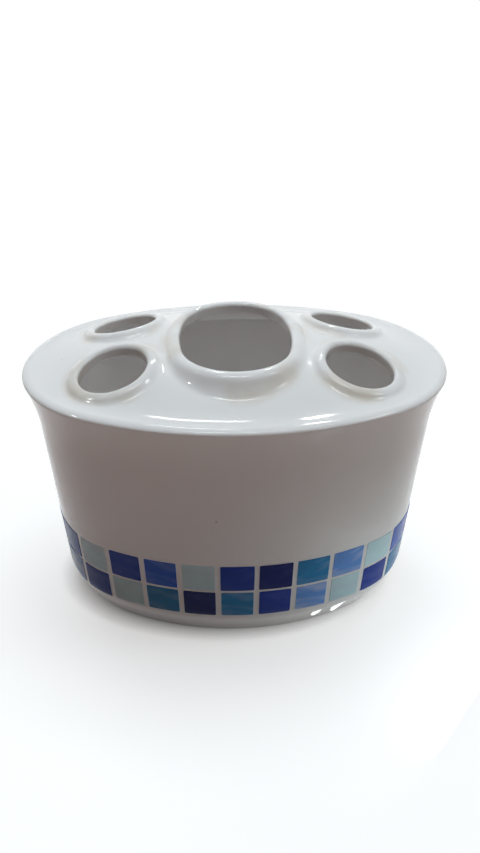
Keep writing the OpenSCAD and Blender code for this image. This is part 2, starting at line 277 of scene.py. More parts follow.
class HolderShape:
    """The holder's surfaces as formulas, worked out from the settings."""

    # Slope of a lip's outer face below its round part
    lip_slope = math.radians(60)
    # Where the deck's lower face begins to rise to a lip, as a share of the way to the fan's border
    rise_share = 0.6
    # How far in the swept rings of the floor reach, as a share of the rim's end radius
    floor_share = 0.8

    def __init__(self, settings):
        self.wall, self.deck, self.mouths = settings.wall, settings.deck, settings.mouths
        self.rim = settings.outline.rim_height
        self.half_l = settings.outline.length / 2
        self.half_w = settings.outline.width / 2
        self.body = Oval(self.half_l, self.half_w, self.half_w - settings.outline.side_bow)
        half_tube = self.mouths.tube_width / 2
        self.tube = Oval(self.mouths.tube_length / 2, half_tube, half_tube - self.mouths.tube_bow)
        self.brush_radius = self.mouths.brush_diameter / 2
        self.brush_centre = np.array([
            (half_tube + self.half_l) / 2 - self.mouths.brush_shift_x,
            self.half_w / 2 - self.mouths.brush_shift_y,
        ])
        self.flare_z = self.rim - self.wall.flare_height
        self.bend_centre = np.array([self.wall_line(self.wall.bend_height), self.wall.bend_height])
        self.bend_centre = self.bend_centre - self.wall.bend_radius * self.aim(self.wall.lean)
        step_z = self.rim + self.deck.crest_height - self.deck.thickness
        self.step_inset = self.wall.thickness - self.flare_line(step_z) + self.deck.step_gap
        collar_inset = self.body.inside(self.brush_centre) - self.brush_radius - self.mouths.brush_lip
        self.fan_inset = (self.step_inset + collar_inset) / 2

    @staticmethod
    def aim(a):
        """Direction at angle a below the horizontal, in the wall's section."""
        return np.array([math.cos(a), -math.sin(a)])

    def wall_line(self, z):
        """How far outside the rim's edge the straight wall is at height z; less than 0 is inside."""
        return -self.wall.flare_out - (self.rim - z) * math.tan(self.wall.lean)

    def flare_line(self, z):
        """The same for the flare."""
        return self.wall_line(z) + self.wall.flare_out * ((z - self.flare_z) / self.wall.flare_height) ** 2

    def toe_centre(self, depth, z, rounding):
        """Centre of the rounding between the taper and the plane at height z."""
        taper = self.wall.taper
        start = self.bend_centre + (self.wall.bend_radius - depth) * self.aim(taper)
        drop = start[1] - z - rounding * (1 - math.sin(taper))
        return np.array([start[0] - drop * math.tan(taper) - rounding * math.cos(taper), z + rounding])

    def wall_skin(self, depth, z, rounding):
        """The section's line from the plane at height z up to the rim, depth inside the outer face."""
        toe_steps, bend_steps, wall_steps, flare_steps = 10, 16, 16, 26
        taper, lean = self.wall.taper, self.wall.lean
        toe = self.toe_centre(depth, z, rounding)
        toe_angles = np.linspace(math.pi / 2, taper, toe_steps + 1)
        bend_angles = np.linspace(taper, lean, bend_steps + 1)
        bend = [self.bend_centre + (self.wall.bend_radius - depth) * self.aim(a) for a in bend_angles]
        heights = np.linspace(bend[-1][1], self.flare_z, wall_steps + 1)[1:-1]
        flare = np.linspace(self.flare_z, self.rim, flare_steps + 1)
        return (
            [toe + rounding * self.aim(a) for a in toe_angles]
            + bend
            + [np.array([self.wall_line(h) - depth, h]) for h in heights]
            + [np.array([self.flare_line(h) - depth, h]) for h in flare]
        )

    def wall_section(self):
        """The section from the middle of the floor over the rim to the middle of the underside."""
        wall = self.wall
        floor_z = wall.foot_recess + wall.floor_thickness
        inner = self.wall_skin(wall.thickness, floor_z, wall.floor_rounding)
        outer = self.wall_skin(0, 0, wall.foot_rounding)
        foot_in = self.toe_centre(0, 0, wall.foot_rounding)[0] - wall.foot_width
        core = -self.body.end_radius * self.floor_share
        recess = foot_in - wall.foot_recess
        under = [(foot_in, 0), (recess, wall.foot_recess), (core, wall.foot_recess)]
        return [(core, floor_z), *inner, *reversed(outer), *under]

    def bare(self, p):
        """Height of the deck without its collars."""
        deck = self.deck
        d = self.body.inside(p)
        rise = np.sqrt(np.clip(1 - (1 - np.clip(d / deck.crest_inset, 0, 1)) ** 2, 0, 1))
        ledge = self.rim + deck.crest_height * rise
        ledge = ledge - deck.ledge_fall * np.maximum(d - deck.crest_inset, 0) / deck.ledge_width
        bulge = (p[..., 0] / self.half_l) ** deck.ridge_power + (p[..., 1] / self.half_w) ** 2
        mound = self.rim + deck.mound_height - deck.mound_fall * bulge
        return blend(ledge, mound, deck.mound_blend)

    def bead(self, e, radius):
        """How far a lip's outer face lies below its crest, at distance e outside the crest line."""
        e = np.maximum(e, 0)
        foot = radius * math.sin(self.lip_slope)
        round_part = radius - np.sqrt(radius**2 - np.minimum(e, foot) ** 2)
        return round_part + np.maximum(e - foot, 0) * math.tan(self.lip_slope)

    def tube_bead(self, p):
        """Height of the tube lip's outer face."""
        e = -self.tube.inside(p[..., ::-1]) - self.mouths.tube_lip
        return self.rim + self.mouths.tube_lip_height - self.bead(e, self.mouths.tube_roll)

    def brush_bead(self, p):
        """Height of the brush lip's outer face."""
        away = p - self.brush_centre
        e = np.linalg.norm(away, axis=-1) - self.brush_radius - self.mouths.brush_lip
        plane = self.rim + self.mouths.brush_lip_height - self.mouths.brush_fall * away.sum(-1)
        return plane - self.bead(e, self.mouths.brush_roll)

    def over(self, p):
        """Height of the deck's upper face over points of the positive quarter."""
        width = self.mouths.collar_blend
        return blend(blend(self.bare(p), self.tube_bead(p), width), self.brush_bead(p), width)

    def under(self, p):
        """Height of the deck's lower face."""
        return self.bare(p) - self.deck.thickness

    def hollow(self, p):
        """1 along the feet of the collars, where water stands, and 0 away from them."""
        width = 2 * self.mouths.collar_blend
        off = [np.abs(self.bare(p) - bead(p)) for bead in (self.tube_bead, self.brush_bead)]
        return np.clip(1 - np.minimum(*off) / width, 0, 1)


# Trees of nodes


class Tree:
    """Adds nodes to a geometry or shader tree and links them in one call each."""

    def __init__(self, tree):
        self.tree = tree

    def add(self, kind, *inputs, **named):
        """A node whose inputs are values or sockets, in order or by name with _ for a space.

        A socket's name begins with a capital, and a setting of the node with a small letter.
        """
        node = self.tree.nodes.new(kind)
        for key in [key for key in named if key[0].islower()]:
            setattr(node, key, named.pop(key))
        given = list(zip(node.inputs, inputs))
        given += [(node.inputs[key.replace("_", " ")], value) for key, value in named.items()]
        for socket, value in given:
            if isinstance(value, bpy.types.NodeSocket):
                self.tree.links.new(value, socket)
            else:
                socket.default_value = value
        return node

    def result(self, kind, *inputs, **more):
        """The first output of such a node."""
        return self.add(kind, *inputs, **more).outputs[0]

    def maths(self, operation, *inputs):
        return self.result("ShaderNodeMath", *inputs, operation=operation)

    def vector(self, operation, *inputs, **more):
        return self.result("ShaderNodeVectorMath", *inputs, operation=operation, **more)

    def length(self, vector):
        return self.add("ShaderNodeVectorMath", vector, operation="LENGTH").outputs["Value"]

    def split(self, vector):
        """The three parts of a vector."""
        return self.add("ShaderNodeSeparateXYZ", vector).outputs

    def ramp(self, value, low, high, start=0.0, end=1.0):
        """Goes evenly from start to end while the value goes from low to high, and stays there."""
        return self.result("ShaderNodeMapRange", value, low, high, start, end)

    def noise(self, place, scale, detail, **more):
        """Cloudy noise round 0.5, with about scale clouds a metre."""
        inputs = {"Vector": place, "Scale": scale, "Detail": detail, **more}
        return self.result("ShaderNodeTexNoise", noise_dimensions="4D" if "W" in more else "3D", **inputs)

    def mix_colour(self, factor, a, b, mode="MIX"):
        """Colour b laid over colour a."""
        node = self.add("ShaderNodeMix", data_type="RGBA", blend_type=mode, Factor=factor, A=a, B=b)
        return node.outputs["Result"]

    def group(self, group, **inputs):
        """A shader group with its own values."""
        return self.result("ShaderNodeGroup", node_tree=group, **inputs)

    def socket(self, name, kind, default=None, side="INPUT"):
        """Adds a named input or output to a group."""
        made = self.tree.interface.new_socket(name.replace("_", " "), in_out=side, socket_type=kind)
        if default is not None:
            made.default_value = default

    def ended_with(self, output):
        """The group, with this as its output."""
        self.add("NodeGroupOutput", output)
        return self.tree


GEOMETRY, FLOAT, VECTOR, COLOUR, OBJECT, MATERIAL = (
    "NodeSocket" + kind for kind in ("Geometry", "Float", "Vector", "Color", "Object", "Material")
)


def geometry_tree(name, **inputs):
    """A geometry tree with a geometry in and out and these named inputs, with _ for a space."""
    tree = Tree(bpy.data.node_groups.new(name, "GeometryNodeTree"))
    tree.socket("Geometry", GEOMETRY, side="OUTPUT")
    tree.socket("Geometry", GEOMETRY)
    for label, kind in inputs.items():
        tree.socket(label, kind)
    return tree, tree.add("NodeGroupInput").outputs


def finished(tree, geometry, material):
    """The geometry tree, ended with real geometry of this material."""
    real = tree.result("GeometryNodeRealizeInstances", geometry)
    done = tree.result("GeometryNodeSetMaterial", Geometry=real, Material=material)
    return tree.ended_with(done)


def run_tree(piece, tree, values):
    """Runs the tree on the piece with these input values and keeps the result as its mesh."""
    modifier = piece.modifiers.new(tree.name, "NODES")
    modifier.node_group = tree
    for item in tree.interface.items_tree:
        if item.in_out == "INPUT" and item.name in values:
            modifier[item.identifier] = values[item.name]
    depsgraph = bpy.context.evaluated_depsgraph_get()
    mesh = bpy.data.meshes.new_from_object(piece.evaluated_get(depsgraph), depsgraph=depsgraph)
    piece.modifiers.remove(modifier)
    old = piece.data
    piece.data = mesh
    bpy.data.meshes.remove(old)


def sweep_tree():
    """Sweeps the section that a mesh holds along a path."""
    tree, given = geometry_tree("section_along_path", Path=OBJECT, Material=MATERIAL)
    path = tree.add("GeometryNodeObjectInfo", Object=given["Path"]).outputs["Geometry"]
    section = tree.result("GeometryNodeMeshToCurve", given["Geometry"])
    swept = tree.result("GeometryNodeCurveToMesh", Curve=path, Profile_Curve=section)
    return finished(tree, swept, given["Material"])


def waviness_tree():
    """Moves a surface a little, by its place alone, so that pieces that touch stay together."""
    tree, given = geometry_tree("cast_waviness", Amount=FLOAT, Scale=FLOAT, Material=MATERIAL)
    noise = tree.add("ShaderNodeTexNoise", Scale=given["Scale"], Detail=1.0)
    centred = tree.vector("SUBTRACT", noise.outputs["Color"], (0.5, 0.5, 0.5))
    offset = tree.vector("SCALE", centred, Scale=given["Amount"])
    moved = tree.result("GeometryNodeSetPosition", Geometry=given["Geometry"], Offset=offset)
    return finished(tree, moved, given["Material"])


def rounded_square(tree, given):
    """A thin square plate with round corners, its faces divided so that it can bend."""
    rows, least_reach = 14, 1e-6
    size = tree.result("ShaderNodeCombineXYZ", given["Width"], given["Height"], given["Thickness"])
    plate = tree.result("GeometryNodeMeshCube", size, rows, rows, 2)
    x, y = tree.split(tree.result("GeometryNodeInputPosition"))[:2]
    over = []
    for value, extent in ((x, given["Width"]), (y, given["Height"])):
        straight = tree.maths("SUBTRACT", tree.maths("MULTIPLY", extent, 0.5), given["Corner"])
        past = tree.maths("SUBTRACT", tree.maths("ABSOLUTE", value), straight)
        over.append(tree.maths("MAXIMUM", past, 0.0))
    reach = tree.maths("SQRT", tree.maths("ADD", *[tree.maths("POWER", o, 2.0) for o in over]))
    reach = tree.maths("MAXIMUM", reach, least_reach)
    push = tree.maths("SUBTRACT", tree.maths("DIVIDE", tree.maths("MAXIMUM", *over), reach), 1.0)
    offset = tree.result("ShaderNodeCombineXYZ", *[
        tree.maths("MULTIPLY", tree.maths("MULTIPLY", push, o), tree.maths("SIGN", value))
        for o, value in zip(over, (x, y))
    ])
    return tree.result("GeometryNodeSetPosition", Geometry=plate, Offset=offset)


def squares_tree():
    """Puts a plate on each point (distance, height) and wraps all of them round the wall."""
    most_turn = 0.006
    smallest, largest = 0.985, 1.015
    tree, given = geometry_tree(
        "squares_round_wall", Path=OBJECT, Width=FLOAT, Height=FLOAT, Thickness=FLOAT, Corner=FLOAT,
        Path_inset=FLOAT, Wall_foot_inset=FLOAT, Wall_slope=FLOAT, Bend_height=FLOAT, Bend_radius=FLOAT,
        Bend_inset=FLOAT, Bend_middle=FLOAT, Material=MATERIAL,
    )

    def random(low, high, seed):
        """A random vector for each square."""
        return tree.result("FunctionNodeRandomValue", data_type="FLOAT_VECTOR",
                           Min=low, Max=high, Seed=seed)

    def stored(geometry, name, value, domain):
        """The geometry with an attribute for its material to read."""
        return tree.result("GeometryNodeStoreNamedAttribute", geometry, data_type="FLOAT_VECTOR",
                           domain=domain, Name=name, Value=value)

    plate, local = rounded_square(tree, given), tree.result("GeometryNodeInputPosition")
    turn = random((0, 0, -most_turn), (0, 0, most_turn), 11)
    grow = random((smallest, smallest, 1), (largest, largest, 1), 12)
    kept = stored(plate, "square_place", local, "POINT")
    laid = tree.result("GeometryNodeInstanceOnPoints", given["Geometry"], Instance=kept, Rotation=turn,
                       Scale=grow)
    tone = random((0, 0, 0), (1, 1, 1), 13)
    real = tree.result("GeometryNodeRealizeInstances", stored(laid, "square_tone", tone, "INSTANCE"))
    distance, height, out = tree.split(tree.result("GeometryNodeInputPosition"))
    path = tree.add("GeometryNodeObjectInfo", Object=given["Path"]).outputs["Geometry"]
    along = tree.maths("FLOORED_MODULO", distance, tree.result("GeometryNodeCurveLength", path))
    sample = tree.add("GeometryNodeSampleCurve", mode="LENGTH", Curves=path, Length=along).outputs
    outward = tree.vector("CROSS_PRODUCT", sample["Tangent"], (0, 0, 1))
    leant = tree.maths("MULTIPLY", height, given["Wall slope"])
    straight = tree.maths("ADD", leant, given["Wall foot inset"])
    below = tree.maths("SUBTRACT", height, given["Bend middle"])
    squares = [tree.maths("POWER", v, 2.0) for v in (given["Bend radius"], below)]
    bent = tree.maths("ADD", tree.maths("SQRT", tree.maths("SUBTRACT", *squares)), given["Bend inset"])
    is_bent = tree.maths("LESS_THAN", height, given["Bend height"])
    wall = tree.result("ShaderNodeMix", Factor=is_bent, A=straight, B=bent)
    proud = tree.maths("ADD", tree.maths("SUBTRACT", wall, given["Path inset"]), out)
    lifted = tree.vector("SCALE", outward, Scale=proud)
    upward = tree.result("ShaderNodeCombineXYZ", 0.0, 0.0, height)
    spot = tree.vector("ADD", tree.vector("ADD", sample["Position"], lifted), upward)
    wrapped = tree.result("GeometryNodeSetPosition", Geometry=real, Position=spot)
    return finished(tree, wrapped, given["Material"])


# Materials

# The values of a cloudy noise between which a look goes from one state to the other
CLOUDY = (0.3, 0.7)


def shader_group(name, output, *inputs):
    """A shader group with one named output and these named inputs."""
    tree = Tree(bpy.data.node_groups.new(name, "ShaderNodeTree"))
    tree.socket(*output, side="OUTPUT")
    for given in inputs:
        tree.socket(*given)
    return tree, tree.add("NodeGroupInput").outputs


def ripple_group():
    """Fine unevenness of a fired glaze: long ripples with a faint orange peel on them."""
    long_scale, peel_scale = 95.0, 620.0
    tree, given = shader_group(
        "glaze_ripple", ("Height", FLOAT), ("Coordinates", VECTOR), ("Peel", FLOAT, 0.25)
    )
    long = tree.noise(given["Coordinates"], long_scale, 2.0)
    peel = tree.maths("MULTIPLY", tree.noise(given["Coordinates"], peel_scale, 1.0), given["Peel"])
    return tree.ended_with(tree.maths("ADD", long, peel))


def speck_group():
    """Mask of a few round specks under the glaze."""
    tree, given = shader_group(
        "glaze_specks", ("Mask", FLOAT), ("Coordinates", VECTOR), ("Scale", FLOAT, 130.0),
        ("Size", FLOAT, 0.06), ("Share", FLOAT, 0.14),
    )
    cells = tree.add("ShaderNodeTexVoronoi", Vector=given["Coordinates"], Scale=given["Scale"]).outputs
    near = tree.maths("SUBTRACT", 1.0, tree.maths("DIVIDE", cells["Distance"], given["Size"]))
    chosen = tree.result("ShaderNodeSeparateColor", cells["Color"])
    rare = tree.maths("LESS_THAN", chosen, given["Share"])
    return tree.ended_with(tree.maths("MULTIPLY", tree.maths("MAXIMUM", near, 0.0), rare))


def stroke_group():
    """Colour of a square as it was brushed on: cloudy, darker in places and with pale streaks."""
    apart = 3.0
    least_lean, most_lean = -0.25, 0.4
    stroke_scale, wobble, streak_from, streak_to = (70, 230, 70), 0.5, 0.44, 0.74
    cloud_scale, cloud_from, cloud_to = 170.0, 0.25, 0.75
    pale, deep = (0.70, 0.76, 0.92, 1), (0.35, 0.40, 0.5, 1)
    dimmest, brightest = 0.86, 1.14
    tree, given = shader_group(
        "brushed_colour", ("Colour", COLOUR), ("Colour", COLOUR), ("Streaks", FLOAT, 0.3),
        ("Clouds", FLOAT, 0.3),
    )
    place, tone = (
        tree.add("ShaderNodeAttribute", attribute_name=name).outputs["Vector"]
        for name in ("square_place", "square_tone")
    )
    brightness, slant = tree.split(tone)[:2]
    where = tree.vector("ADD", place, tree.vector("SCALE", tone, Scale=apart))
    lean = tree.ramp(slant, 0.0, 1.0, least_lean, most_lean)
    leant = tree.result("ShaderNodeVectorRotate", rotation_type="Z_AXIS", Vector=where, Angle=lean)
    across = tree.result("ShaderNodeMapping", leant, Scale=stroke_scale)
    streak = tree.ramp(tree.noise(across, 1.0, 2.0, Distortion=wobble), streak_from, streak_to)
    cloud = tree.ramp(tree.noise(where, cloud_scale, 3.0), cloud_from, cloud_to)
    light = tree.mix_colour(tree.maths("MULTIPLY", streak, given["Streaks"]), given["Colour"], pale)
    dark = tree.mix_colour(tree.maths("MULTIPLY", cloud, given["Clouds"]), light, deep, "MULTIPLY")
    value = tree.ramp(brightness, 0.0, 1.0, dimmest, brightest)
    return tree.ended_with(tree.result("ShaderNodeHueSaturation", Value=value, Color=dark))


def new_material(name):
    """A material and its tree, which is empty."""
    material = bpy.data.materials.new(name)
    material.use_nodes = True
    material.node_tree.nodes.clear()
    return material, Tree(material.node_tree)


def fired_surface(tree, base, rough, ripple, ripple_height, sheen):
    """Ends a material as a glossy fired surface with ripples."""
    bump = tree.result("ShaderNodeBump", Strength=1.0, Distance=ripple_height, Height=ripple)
    shader = tree.result("ShaderNodeBsdfPrincipled", Base_Color=base, Roughness=rough, Normal=bump,
                         Specular_IOR_Level=sheen)
    tree.add("ShaderNodeOutputMaterial", shader)


def glaze_material(look, groups):
    """White glaze with faint stains in the hollows, a few specks and a bare foot ring, its clay darkened to
    paint the contact shade along the foot's bottom edge.
    """
    patch_scale, patch_place, patch_from, patch_to = 62.0, 3.0, 0.46, 0.68
    shade_scale = 24.0
    warm, most_warm = (0.70, 0.68, 0.62, 1), 0.09
    glazed_above, bare_below = 0.001, 0.0005
    wear, film_roughness, bare_roughness = 0.05, 0.35, 0.75
    tree = new_material("fired_glaze")[1]
    place = tree.add("ShaderNodeTexCoord").outputs["Object"]
    hollow = tree.add("ShaderNodeAttribute", attribute_name="hollow").outputs["Fac"]
    patchy = tree.ramp(tree.noise(place, patch_scale, 4.0, W=patch_place), patch_from, patch_to)
    film = tree.maths("MULTIPLY", tree.maths("MULTIPLY", hollow, patchy), look.stain_strength)
    shades = tree.noise(place, shade_scale, 2.0)
    tinted = tree.mix_colour(tree.ramp(shades, *CLOUDY, 0.0, most_warm), (*look.white, 1), warm)
    stained = tree.mix_colour(film, tinted, (*look.stain, 1))
    specked = tree.mix_colour(tree.group(groups["specks"], Coordinates=place), stained, (*look.speck, 1))
    # The lowest millimetre of the foot is bare clay, darkened to paint the contact shade at its bottom edge
    bare = tree.ramp(tree.split(place)[2], glazed_above, bare_below)
    shown = tree.mix_colour(bare, specked, (*look.clay_and_contact_shade, 1))
    worn = tree.ramp(shades, *CLOUDY, look.roughness, look.roughness + wear)
    dull = tree.maths("ADD", worn, tree.maths("MULTIPLY", film, film_roughness))
    rough = tree.maths("MAXIMUM", dull, tree.maths("MULTIPLY", bare, bare_roughness))
    ripple = tree.group(groups["ripple"], Coordinates=place)
    fired_surface(tree, shown, rough, ripple, look.ripple, look.sheen)


def enamel_material(name, streaks, clouds, settings, groups):
    """Fired-on colour, brushed by hand under the gloss."""
    uneven_scale, wear, peel = 160.0, 0.08, 0.5
    look = settings.enamel
    tree = new_material("brushed_" + name)[1]
    place = tree.add("ShaderNodeTexCoord").outputs["Object"]
    tint = (*getattr(look, name), 1)
    brushed = tree.group(groups["strokes"], Colour=tint, Streaks=streaks, Clouds=clouds)
    ripple = tree.group(groups["ripple"], Coordinates=place, Peel=peel)
    uneven = tree.noise(place, uneven_scale, 2.0)
    rough = tree.ramp(uneven, *CLOUDY, look.roughness, look.roughness + wear)
    fired_surface(tree, brushed, rough, ripple, settings.glaze.ripple, look.sheen)


def materials(settings):
    """All the materials by name, the holder's made once; the frame's bear the names of the slots."""
    if "fired_glaze" not in bpy.data.materials:
        groups = {"ripple": ripple_group(), "specks": speck_group(), "strokes": stroke_group()}
        glaze_material(settings.glaze, groups)
        for name, (_, streaks, clouds) in ENAMELS.items():
            enamel_material(name, streaks, clouds, settings, groups)
    return bpy.data.materials


# Pieces


def new_piece(name, data):
    """An object at the origin that holds this mesh, curve, lamp or camera."""
    piece = bpy.data.objects.new(name, data)
    bpy.context.scene.collection.objects.link(piece)
    return piece


def mesh_piece(name, points, edges=(), faces=()):
    """An object with a mesh of its own."""
    mesh = bpy.data.meshes.new(name)
    mesh.from_pydata(points, edges, faces)
    return new_piece(name, mesh)


def quarter_angles(shape):
    """Angles of the outward normal over a quarter of the rim, from the end to the front.

    They come in two parts, beside a brush mouth and beside the tube mouth.
    """
    end_steps, side_steps = 56, 22
    turn = shape.body.turn
    split_x = (shape.mouths.tube_width / 2 + shape.brush_centre[0] - shape.brush_radius) / 2
    split = math.acos(split_x / (shape.body.side_radius - shape.fan_inset))
    end = np.linspace(0, turn, end_steps, endpoint=False)
    side = np.linspace(turn, split, side_steps, endpoint=False)
    return np.concatenate([end, side]), np.linspace(split, math.pi / 2, side_steps + 1)


def oval_path(name, shape, inset=0.0):
    """A closed curve round the oval, from the front's middle to the right."""
    quarter = np.concatenate(quarter_angles(shape))
    lap = np.concatenate([
        2 * math.pi - quarter[::-1], 2 * math.pi + quarter[1:],
        3 * math.pi - quarter[-2::-1], 3 * math.pi + quarter[1:-1],
    ])
    points = shape.body.point(lap, inset)
    curve = bpy.data.curves.new(name, "CURVE")
    curve.dimensions = "3D"
    spline = curve.splines.new("POLY")
    spline.points.add(len(points) - 1)
    for target, (x, y) in zip(spline.points, points):
        target.co = (x, y, 0, 1)
    spline.use_cyclic_u = True
    return new_piece(name, curve)


def close_and_smooth(piece, sharp=30):
    """Closes a piece's open loops, turns its faces outwards and smooths all but its sharp edges."""
    weld = 1e-6
    shell = bmesh.new()
    shell.from_mesh(piece.data)
    bmesh.ops.remove_doubles(shell, verts=shell.verts, dist=weld)
    bmesh.ops.holes_fill(shell, edges=[e for e in shell.edges if e.is_boundary], sides=0)
    bmesh.ops.recalc_face_normals(shell, faces=shell.faces)
    if shell.calc_volume(signed=True) < 0:
        bmesh.ops.reverse_faces(shell, faces=shell.faces)
    if any(not e.is_manifold for e in shell.edges):
        raise RuntimeError(piece.name + " isn't closed")
    shell.to_mesh(piece.data)
    shell.free()
    piece.data.shade_smooth()
    piece.data.set_sharp_from_angle(angle=math.radians(sharp))


def add_waviness(piece, settings, material):
    """Gives the piece the small wanderings of a cast surface."""
    waves_a_metre = 42.0
    tree = bpy.data.node_groups.get("cast_waviness") or waviness_tree()
    run_tree(piece, tree, {"Amount": settings.glaze.waviness, "Scale": waves_a_metre, "Material": material})


def hand_over(piece, node):
    """Puts the piece in its CAD node's place."""
    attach(piece, "root")
    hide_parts(node)


def make_vessel(settings):
    """The wall, its flared rim, the floor and the foot ring, swept round the oval."""
    shape = HolderShape(settings)
    section = [(out, -z, 0) for out, z in shape.wall_section()]
    piece = mesh_piece("vessel_glazed", section, [(i, i + 1) for i in range(len(section) - 1)])
    path = oval_path("rim_path", shape)
    glaze = materials(settings)["fired_glaze"]
    run_tree(piece, sweep_tree(), {"Path": path, "Material": glaze})
    bpy.data.objects.remove(path)
    close_and_smooth(piece)
    add_waviness(piece, settings, glaze)
    hand_over(piece, "vessel")


def raised(p, z):
    """Points of the plane at height z, which is one number or one for each."""
    return np.column_stack([p, np.broadcast_to(z, len(p))])


def fan_rows(shape, centre, clear, lip, border):
    """Columns of points from the border in under the deck, up the mouth and out over the lip."""
    under_steps, edge_steps, bore_steps, lip_steps, over_steps = 14, 4, 6, 10, 30
    crowding = 1.35
    reach = np.linalg.norm(border - centre, axis=-1)
    unit = (border - centre) / reach[:, None]
    way = reach - clear

    def at(e):
        """Points at distance e outside the mouth."""
        return centre + unit * np.reshape(clear + e, (-1, 1))

    edge = shape.deck.edge_rounding
    top = shape.over(at(lip))
    rise = top - shape.bare(at(0))
    base = shape.under(at(0)) + rise
    # The slope of the crest, over a short step outwards, tilts the lip's round part
    step = lip / 50
    slope = (shape.over(at(lip + step)) - top) / step
    rows = []
    for s in np.linspace(1, 0, under_steps + 1)[:-1]:
        p = at(edge + (way - edge) * s)
        rows.append(raised(p, shape.under(p) + rise * max(1 - s / shape.rise_share, 0) ** 2))
    for a in np.linspace(-math.pi / 2, -math.pi, edge_steps + 1):
        rows.append(raised(at(edge * (1 + math.cos(a))), base + edge * (1 + math.sin(a))))
    for s in np.linspace(0, 1, bore_steps + 1)[1:-1]:
        rows.append(raised(at(0), base + edge + (top - lip - lip * slope - base - edge) * s))
    for a in np.linspace(0, math.pi / 2, lip_steps + 1):
        inward = lip * math.cos(a)
        rows.append(raised(at(lip - inward), top - lip * (1 - math.sin(a)) - slope * inward))
    for s in np.linspace(0, 1, over_steps + 1)[1:]:
        p = at(lip + (way - lip) * s**crowding)
        rows.append(raised(p, shape.over(p)))
    return np.stack(rows, 1)


def shoulder_rows(shape, normals):
    """Columns of points from the fans' border out to the rim and back under the deck."""
    ledge_steps, shoulder_steps = 12, 18
    crest = shape.deck.crest_inset

    def ring(inset):
        return shape.body.point(normals, -inset)

    insets = list(np.linspace(shape.fan_inset, crest, ledge_steps + 1)[:-1])
    insets += [crest * (1 - math.cos(a)) for a in np.linspace(math.pi / 2, 0, shoulder_steps + 1)[:-1]]
    rows = [raised(p, shape.over(p)) for p in map(ring, insets)]
    rows += [raised(ring(inset), shape.rim) for inset in (0, shape.step_inset)]
    rows += [raised(p, shape.under(p)) for p in map(ring, (shape.step_inset, shape.fan_inset))]
    return np.stack(rows, 1)


def deck_patches(shape):
    """The positive quarter of the deck: the fans of a brush mouth and the tube mouth, and the shoulder."""
    line_steps = 40

    def ring(normals):
        return shape.body.point(normals, -shape.fan_inset)

    flank, front = quarter_angles(shape)
    corner, tip = ring(front[:1])[0], ring(flank[:1])[0]
    split_x = np.full(line_steps + 1, corner[0])
    split_line = np.stack([split_x, np.linspace(0, corner[1], line_steps + 1)], -1)
    axis_x = np.linspace(corner[0], tip[0], line_steps + 1)
    axis_line = np.stack([axis_x, np.zeros(line_steps + 1)], -1)
    brush_border = np.concatenate([axis_line[:-1], ring(flank), split_line[::-1]])
    tube_border = np.concatenate([split_line[:-1], ring(front)])
    tube_centre, tube_clear = shape.tube.nearest_arc(tube_border[:, ::-1])
    return [
        fan_rows(shape, shape.brush_centre, shape.brush_radius, shape.mouths.brush_lip, brush_border),
        fan_rows(shape, tube_centre[:, ::-1], tube_clear, shape.mouths.tube_lip, tube_border),
        shoulder_rows(shape, np.concatenate([flank, front])),
    ]


def make_deck(settings):
    """The domed top: five rolled lips that flow into the mound, and the shoulder round them."""
    shape = HolderShape(settings)
    points, faces, hollows = [], [], []
    for patch in deck_patches(shape):
        columns, rows = patch.shape[:2]
        corner = np.arange(columns * rows).reshape(columns, rows)[:-1, :-1].ravel()
        quads = np.stack([corner, corner + 1, corner + rows + 1, corner + rows], -1)
        flat = patch.reshape(-1, 3)
        above = flat[:, 2] > shape.under(flat[:, :2]) + shape.deck.thickness / 2
        wet = shape.hollow(flat[:, :2]) * above
        for x, y in ((1, 1), (-1, 1), (-1, -1), (1, -1)):
            first = sum(map(len, points))
            faces.extend((quads + first).tolist())
            points.append(flat * (x, y, 1))
            hollows.append(wet)
    piece = mesh_piece("deck_glazed", np.concatenate(points).tolist(), faces=faces)
    hollow = piece.data.attributes.new("hollow", "FLOAT", "POINT")
    hollow.data.foreach_set("value", np.concatenate(hollows))
    close_and_smooth(piece)
    add_waviness(piece, settings, materials(settings)["fired_glaze"])
    hand_over(piece, "deck")


def square_points(band, pitch, letter):
    """Middles of the squares of one colour, as (distance round the wall, height)."""
    half = band.square_height / 2
    upper = band.top - half
    lower = band.top - band.square_height - band.row_gap - half
    return [
        (i * pitch - band.shift, z, 0)
        for letters, z in ((band.upper_row, upper), (band.lower_row, lower))
        for i in range(band.columns)
        if letters[i % len(letters)] == letter
    ]


def make_squares(settings):
    """The 54 enamel squares, one piece for each of the six colours."""
    shape, band, wall = HolderShape(settings), settings.band, settings.wall
    inset = shape.wall_line(band.top)
    path = oval_path("band_path", shape, inset)
    body = shape.body
    quarter = body.turn * (body.end_radius + inset) + (math.pi / 2 - body.turn) * (body.side_radius + inset)
    pitch = 4 * quarter / band.columns
    tree = squares_tree()
    for name, (letter, _, _) in ENAMELS.items():
        piece = mesh_piece("enamel_" + name, square_points(band, pitch, letter))
        material = materials(settings)["brushed_" + name]
        run_tree(piece, tree, {
            "Path": path, "Width": pitch - band.square_gap, "Height": band.square_height,
            "Thickness": 2 * band.thickness, "Corner": band.corner, "Path inset": inset,
            "Wall foot inset": shape.wall_line(0), "Wall slope": math.tan(wall.lean),
            "Bend height": wall.bend_height, "Bend radius": wall.bend_radius,
            "Bend inset": float(shape.bend_centre[0]), "Bend middle": float(shape.bend_centre[1]),
            "Material": material,
        })
        close_and_smooth(piece, sharp=50)
        add_waviness(piece, settings, material)
        hand_over(piece, "squares_" + name)
    bpy.data.objects.remove(path)


# Stage


